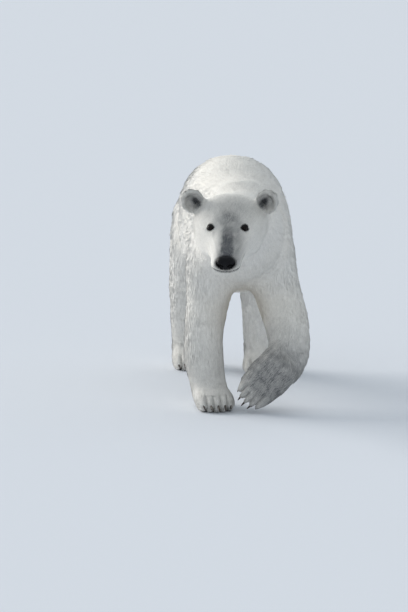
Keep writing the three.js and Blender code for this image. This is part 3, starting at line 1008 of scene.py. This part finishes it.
def tuft_mesh(name, skin, chosen, count, seed):
    """A mesh of closed four-cornered tufts over the chosen faces, with their bake map."""
    rng = np.random.default_rng(seed)
    weights = skin.areas[chosen] * skin.sizes[skin.triangles[chosen], DENSITY].mean(axis=1)
    weights = weights * (skin.marks[skin.triangles[chosen], 0].mean(axis=1) < HAIRLESS)
    faces, share = sown(weights, count, rng)
    corners = skin.triangles[chosen][faces]

    def at_root(values):
        return np.einsum("nk,nkd->nd", share, values[corners])

    root, normal, flow = at_root(skin.places), unit(at_root(skin.normals)), at_root(skin.flow)
    sizes, marks = at_root(skin.sizes), at_root(skin.marks)
    marks[:, 2] *= rng.uniform(0.7, 1.25, count)
    flow = unit(flattened(flow, normal))
    sweep = sum(turn * waves(root, size, seed + k) for k, (turn, size) in enumerate(WANDER, 1))
    flow = turned(flow, normal, sweep + rng.normal(0, STRAY, count))
    length = sizes[:, LENGTH] * (1 + 0.10 * waves(root, 0.05, seed + 3))
    length *= rng.uniform(*LENGTHS, count)
    width = sizes[:, WIDTH] * rng.uniform(*WIDTHS, count)
    rise = sizes[:, RISE] * (1 + 0.10 * waves(root, 0.04, seed + 4))
    rise = np.radians(rise + rng.normal(0, 2, count))
    side = np.cross(normal, flow)

    def reach(angle):
        return flow * np.cos(angle)[:, None] + normal * np.sin(angle)[:, None]

    mid = root + reach(rise) * (length * BEND)[:, None]
    droop = np.radians(rng.uniform(*DROOP, count))
    tip = mid + reach(rise - droop) * (length * (1 - BEND))[:, None]
    tip = locked(root, tip, rng)
    half = (side * width[:, None]) / 2
    root = root - normal * (ROOTED[0] + ROOTED[1] * length)[:, None]
    points = np.stack([root, mid - half, mid + half, tip], axis=1)
    points[:, :, 2] = np.maximum(points[:, :, 2], 0.0003 + 0.0012 * rng.uniform(0, 1, (count, 1)))
    lean = SPLAY * side
    soft = np.stack([normal, normal - lean, normal + lean, normal + 0.2 * flow], axis=1)
    points, soft = points.reshape(-1, 3), unit(soft.reshape(-1, 3))
    pattern = np.array(TUFT_FACES)
    if np.sum(np.cross(points[2] - points[0], points[1] - points[0]) * normal[0]) < 0:
        pattern = pattern[:, ::-1]
    triangles = (np.arange(count)[:, None, None] * 4 + pattern).reshape(-1, 3)

    mesh = bpy.data.meshes.new(name)
    mesh.vertices.add(len(points))
    write(mesh.vertices, "co", points)
    mesh.loops.add(triangles.size)
    write(mesh.loops, "vertex_index", triangles, np.int32)
    mesh.polygons.add(len(triangles))
    write(mesh.polygons, "loop_start", np.arange(0, triangles.size, 3), np.int32)
    smooth(mesh).update()
    mesh.normals_split_custom_set_from_vertices(soft)
    columns = np.repeat(marks[:, None, :], 4, axis=1)
    columns[:, :, 3] = ALONG
    mark(mesh, columns.reshape(-1, 4).T)
    own = mesh.attributes.new("tuft", "FLOAT", "POINT")
    write(own.data, "value", np.repeat(rng.uniform(0, 1, count), 4))
    patch = PATCH * np.array(((0, -1), (-1, 0), (1, 0), (0, 1)))
    place = np.einsum("nk,nkd->nd", share, skin.unwrapped(chosen)[faces])
    uv = (place[:, None, :] + patch).reshape(-1, 2)[triangles.ravel()]
    write(mesh.uv_layers.new(name="OFBake").data, "uv", np.clip(uv, 0, 1))
    return mesh


class BEAR_OT_coat(bpy.types.Operator):
    """The coat: closed tufts that follow the lie of the hair over the whole skin"""

    bl_idname = "bear.coat"
    bl_label = "Coat"

    def execute(self, context):
        skin = Skin(bpy.data.objects["skin"])
        for seed, (name, (nodes, front, back)) in enumerate(COAT_PIECES.items()):
            here = owned_by(skin.face_owner, nodes)
            here &= (skin.centres[:, 1] >= front) & (skin.centres[:, 1] < back)
            chosen = np.nonzero(here)[0]
            density = skin.sizes[skin.triangles[chosen], DENSITY].mean(axis=1)
            wanted = np.sum(skin.areas[chosen] * density) * 1e4 * settings().fullness
            count = int(min(wanted, MOST_TUFTS))
            mesh = tuft_mesh(name, skin, chosen, count, 100 * (seed + 1))
            add_piece(name, mesh, ("coat_fur", coat_surface), nodes)
        return {"FINISHED"}


# ---- Materials ----
def feed(tree, socket, value):
    """Links a node's output to a socket, or sets the socket's own value."""
    if isinstance(value, bpy.types.NodeSocket):
        tree.links.new(value, socket)
    elif socket.type == "RGBA":
        socket.default_value = (*value[:3], 1)
    else:
        socket.default_value = value


def feed_all(tree, node, **values):
    for name, value in values.items():
        feed(tree, node.inputs[name.replace("_", " ")], value)


def add_node(tree, kind, **values):
    """A shader node with its properties and sockets set by name."""
    made = tree.nodes.new(kind)
    sockets = {}
    for name, value in values.items():
        if name in made.bl_rna.properties:
            setattr(made, name, value)
        else:
            sockets[name] = value
    feed_all(tree, made, **sockets)
    return made


def mix(tree, share, a, b, blend="MIX"):
    """A colour mix; returns its colour output."""
    made = add_node(tree, "ShaderNodeMix", data_type="RGBA", blend_type=blend)
    for index, value in ((0, share), (6, a), (7, b)):
        feed(tree, made.inputs[index], value)
    return made.outputs[2]


def math_node(tree, operation, *values, clamp=False):
    made = add_node(tree, "ShaderNodeMath", operation=operation, use_clamp=clamp)
    for socket, value in zip(made.inputs, values):
        feed(tree, socket, value)
    return made.outputs[0]


def object_place(tree):
    return add_node(tree, "ShaderNodeTexCoord").outputs["Object"]


def noise(tree, scale, detail=4.0):
    """Noise at the object's own coordinates."""
    place = object_place(tree)
    made = add_node(tree, "ShaderNodeTexNoise", Vector=place, Scale=scale, Detail=detail)
    return made.outputs["Fac"]


def attribute(tree, name):
    return add_node(tree, "ShaderNodeAttribute", attribute_name=name).outputs


def fine_bump(tree, scale, strength, distance):
    height = noise(tree, scale)
    made = add_node(tree, "ShaderNodeBump", Height=height, Strength=strength, Distance=distance)
    return made.outputs["Normal"]


def material(name, fill):
    """The material of that name, whose shader's sockets the function fill gives, made once."""
    made = bpy.data.materials.get(name)
    if not made:
        made = bpy.data.materials.new(name)
        made.use_nodes = True
        tree = made.node_tree
        feed_all(tree, tree.nodes["Principled BSDF"], **fill(tree))
    return made


def markings_group():
    """The coat's colour, shared by the skin and the tufts: cream, darker at the roots partly as
    painted shade; grey for thin hair and painted shade; painted tan shade under the chest; bare
    skin.
    """
    group = bpy.data.node_groups.get("Coat markings")
    if group:
        return group
    look = settings()
    group = bpy.data.node_groups.new("Coat markings", "ShaderNodeTree")
    group.interface.new_socket("Depth", in_out="INPUT", socket_type="NodeSocketFloat")
    group.interface.new_socket("Color", in_out="OUTPUT", socket_type="NodeSocketColor")
    group.interface.new_socket("Bare", in_out="OUTPUT", socket_type="NodeSocketFloat")
    given = group.nodes.new("NodeGroupInput").outputs
    result = group.nodes.new("NodeGroupOutput")
    marks = attribute(group, "marks")
    bare, chest_shaded, thin = add_node(group, "ShaderNodeSeparateColor", Color=marks["Color"]).outputs
    # Darker at the root: partly the hair's creamier root, partly painted shade deep in the coat;
    # the skin under the tufts takes the root colour.
    tipped = math_node(group, "MULTIPLY", marks["Alpha"], given["Depth"])
    hair = mix(group, tipped, look.root_colour, look.tip_colour)
    warm = math_node(group, "MULTIPLY_ADD", noise(group, 7.0, 3.0), 1.6, -0.55, clamp=True)
    hair = mix(group, math_node(group, "MULTIPLY", warm, 0.35), hair, look.warm_colour)
    speck = math_node(group, "MULTIPLY_ADD", noise(group, 95.0, 3.0), 0.16, 0.92)
    own = math_node(group, "MULTIPLY_ADD", attribute(group, "tuft")["Fac"], 0.12, 0.94)
    speck = math_node(group, "MULTIPLY", speck, own)
    grey = add_node(group, "ShaderNodeCombineColor", Red=speck, Green=speck, Blue=speck)
    hair = mix(group, 1.0, hair, grey.outputs[0], "MULTIPLY")
    hair = mix(group, chest_shaded, hair, look.chest_shade_colour)
    # Grey for thin hair, which also carries painted shade.
    hair = mix(group, thin, hair, look.thin_hair_and_shade_colour)
    feed_all(group, result, Color=mix(group, bare, hair, look.bare_colour), Bare=bare)
    return group


def coat_surface(tree):
    colour = add_node(tree, "ShaderNodeGroup", node_tree=markings_group(), Depth=1.0)
    return {
        "Base Color": colour.outputs["Color"],
        "Roughness": 0.70,
        "Sheen Weight": 0.10,
        "Sheen Roughness": 0.5,
        "Specular IOR Level": 0.15,
        "Normal": fine_bump(tree, 900.0, 0.25, 0.0006),
    }


def skin_surface(tree):
    colour = add_node(tree, "ShaderNodeGroup", node_tree=markings_group(), Depth=0.0)
    return {
        "Base Color": colour.outputs["Color"],
        "Roughness": math_node(tree, "MULTIPLY_ADD", colour.outputs["Bare"], -0.38, 0.80),
        "Specular IOR Level": 0.1,
        "Normal": fine_bump(tree, 620.0, 0.5, 0.001),
    }


def eye_surface(tree):
    wander = math_node(tree, "MULTIPLY_ADD", noise(tree, 700.0), 0.05, -0.025)
    angle = math_node(tree, "ADD", attribute(tree, "from_axis")["Fac"], wander)
    ramp = add_node(tree, "ShaderNodeValToRGB", Fac=angle)
    stops = ramp.color_ramp.elements
    iris, pupil = settings().iris_colour, (0.002, 0.002, 0.002)
    # Out from the middle of the eye, as shares of a right angle.
    rings = {
        0.0: pupil,
        0.19: pupil,
        0.23: iris,
        0.40: [c * 0.55 for c in iris],
        0.45: (0.006, 0.004, 0.003),
        0.60: (0.008, 0.006, 0.005),
        1.0: (0.010, 0.008, 0.008),
    }
    while len(stops) < len(rings):
        stops.new(0.5)
    for stop, (at, colour) in zip(stops, rings.items()):
        stop.position = at
        stop.color = (*colour[:3], 1)
    return {
        "Base Color": ramp.outputs["Color"],
        "Roughness": 0.10,
        "Specular IOR Level": 0.12,
        "Coat Weight": 0.06,
        "Coat Roughness": 0.02,
    }


def nose_surface(tree):
    colour = mix(tree, noise(tree, 120.0, 3.0), (0.004, 0.004, 0.005), (0.010, 0.010, 0.012))
    pebble = add_node(tree, "ShaderNodeTexVoronoi", Vector=object_place(tree), Scale=620.0)
    pebble = pebble.outputs["Distance"]
    bump = add_node(tree, "ShaderNodeBump", Height=pebble, Strength=0.55, Distance=0.0007)
    bump.invert = True
    return {
        # The nostril holes are painted darker: painted shade.
        "Base Color": mix(tree, attribute(tree, "hollow")["Fac"], colour, (0.002, 0.002, 0.002)),
        "Roughness": 0.36,
        "Specular IOR Level": 0.11,
        "Normal": bump.outputs["Normal"],
    }


def claw_surface(tree):
    return {
        "Base Color": mix(tree, noise(tree, 260.0), (0.016, 0.013, 0.011), (0.085, 0.066, 0.050)),
        "Roughness": 0.34,
        "Normal": fine_bump(tree, 700.0, 0.35, 0.0005),
    }


def floor_surface(tree):
    return {"Base Color": settings().floor_colour, "Roughness": 0.9, "Specular IOR Level": 0.1}


# ---- Stage ----
KEY_FROM, KEY_TO = Vector((-3.0, 2.1, 1.7)), Vector((0, 0, 0.4))
KEY_SPREAD = math.radians(42)
FLOOR_RADIUS, FAR = 120, 400  # metres; the camera sees nothing beyond FAR


class BEAR_OT_stage(bpy.types.Operator):
    """Pale floor, soft light and the camera"""

    bl_idname = "bear.stage"
    bl_label = "Stage"

    def execute(self, context):
        look = settings()
        scene = context.scene
        bm = bmesh.new()
        bmesh.ops.create_circle(bm, cap_ends=True, segments=96, radius=FLOOR_RADIUS)
        floor = object_from("floor", mesh_from(bm, "floor"))
        floor.data.materials.append(material("pale_floor", floor_surface))
        world = bpy.data.worlds.new("studio")
        world.use_nodes = True
        sky = world.node_tree.nodes["Background"]
        feed_all(world.node_tree, sky, Color=look.sky_colour, Strength=look.fill_strength)
        scene.world = world
        light = bpy.data.lights.new("key", "SUN")
        light.energy, light.color, light.angle = look.key_strength, look.key_colour, KEY_SPREAD
        key = bpy.data.objects.new("key", light)
        scene.collection.objects.link(key)
        key.location = KEY_FROM
        key.rotation_euler = (KEY_TO - KEY_FROM).to_track_quat("-Z", "Y").to_euler()
        lens = bpy.data.cameras.new("camera")
        lens.lens = look.lens
        lens.sensor_width = 36
        lens.clip_end = FAR
        camera = bpy.data.objects.new("camera", lens)
        scene.collection.objects.link(camera)
        camera.location = look.camera_place
        pan, dip = math.radians(look.camera_pan), math.radians(look.camera_dip)
        camera.rotation_euler = (math.pi / 2 - dip, 0, -pan)
        scene.camera = camera
        scene.view_settings.view_transform = "Standard"
        return {"FINISHED"}


# ---- Settings, panel and run ----
def number_setting(name, description, default, **more):
    return FloatProperty(name=name, description=description, default=default, **more)


def colour_setting(name, description, default):
    return FloatVectorProperty(
        name=name, description=description, default=default, subtype="COLOR", size=3, min=0, max=1
    )


def length_setting(name, description, default):
    return number_setting(name, description, default, min=0, unit="LENGTH", precision=4)


class PolarBearSettings(bpy.types.PropertyGroup):
    """Sizes and colours of the bear"""

    voxel: length_setting("Skin cell", "Size of the cells the skin is drawn in", 0.0042)
    kept_faces: number_setting(
        "Kept faces", "Share of the skin's faces kept", 0.55, min=0.1, max=1
    )
    eye_radius: length_setting("Eye radius", "Radius of an eyeball", 0.0126)
    head_pitch: number_setting(
        "Head pitch", "How far the nose dips below level", math.radians(22), subtype="ANGLE"
    )
    fullness: number_setting(
        "Fullness", "Tufts grown, against the full count", 0.985, min=0, max=2
    )
    # Darker than the tip: partly the hair's own cream, partly painted shade deep in the coat and on
    # the skin under it.
    root_colour: colour_setting("Root", "Hair at its root", (0.82, 0.79, 0.74))
    tip_colour: colour_setting("Tip", "Hair at its tip", (0.93, 0.92, 0.88))
    warm_colour: colour_setting("Warm patch", "Broad warmer patches", (0.90, 0.85, 0.75))
    # Painted tan shade under the chest, between the forelegs.
    chest_shade_colour: colour_setting("Stain", "Stained hair on the chest", (0.52, 0.42, 0.27))
    # Also the colour of painted shade on the brow, crown, sockets, ear cups, muzzle skirt and the
    # lifted paw.
    thin_hair_and_shade_colour: colour_setting("Thin hair", "Hair so thin the skin shows", (0.10, 0.105, 0.115))
    bare_colour: colour_setting("Bare skin", "Lids, lips and pads", (0.012, 0.011, 0.012))
    iris_colour: colour_setting("Iris", "Colour of the iris", (0.012, 0.006, 0.0035))
    floor_colour: colour_setting("Floor", "Pale floor", (0.72, 0.75, 0.80))
    sky_colour: colour_setting("Sky", "Light all round", (0.88, 0.945, 1.0))
    key_colour: colour_setting("Key colour", "Main light", (1.0, 0.965, 0.915))
    fill_strength: number_setting("Fill", "Light all round", 0.70, min=0)
    key_strength: number_setting("Key", "Main light", 2.6, min=0)
    lens: number_setting("Lens", "Focal length in millimetres", 231.4, min=1)
    camera_place: FloatVectorProperty(
        name="Camera", description="Place of the camera", size=3, unit="LENGTH",
        default=(-0.8256, -14.1582, 2.456),
    )
    camera_pan: number_setting("Pan", "Degrees to the right", 2.816)
    camera_dip: number_setting("Dip", "Degrees down", 8.558)


OPERATORS = (
    BEAR_OT_skin, BEAR_OT_eyes, BEAR_OT_nose, BEAR_OT_claws, BEAR_OT_coat, BEAR_OT_stage
)


class BEAR_PT_panel(bpy.types.Panel):
    """The bear's pieces and their settings"""

    bl_idname = "BEAR_PT_panel"
    bl_label = "Polar Bear"
    bl_space_type = "VIEW_3D"
    bl_region_type = "UI"
    bl_category = "Bear"

    def draw(self, context):
        for operator in OPERATORS:
            self.layout.operator(operator.bl_idname)
        for name in PolarBearSettings.__annotations__:
            self.layout.prop(context.scene.polar_bear, name)


CLASSES = (PolarBearSettings, *OPERATORS, BEAR_PT_panel)


def register():
    for made in CLASSES:
        bpy.utils.register_class(made)
    bpy.types.Scene.polar_bear = PointerProperty(type=PolarBearSettings)


def unregister():
    del bpy.types.Scene.polar_bear
    for made in reversed(CLASSES):
        bpy.utils.unregister_class(made)


def main():
    register()
    bpy.ops.bear.skin()
    bpy.ops.bear.eyes()
    bpy.ops.bear.nose()
    bpy.ops.bear.claws()
    bpy.ops.bear.coat()
    bpy.ops.bear.stage()


if __name__ == "__main__":
    main()
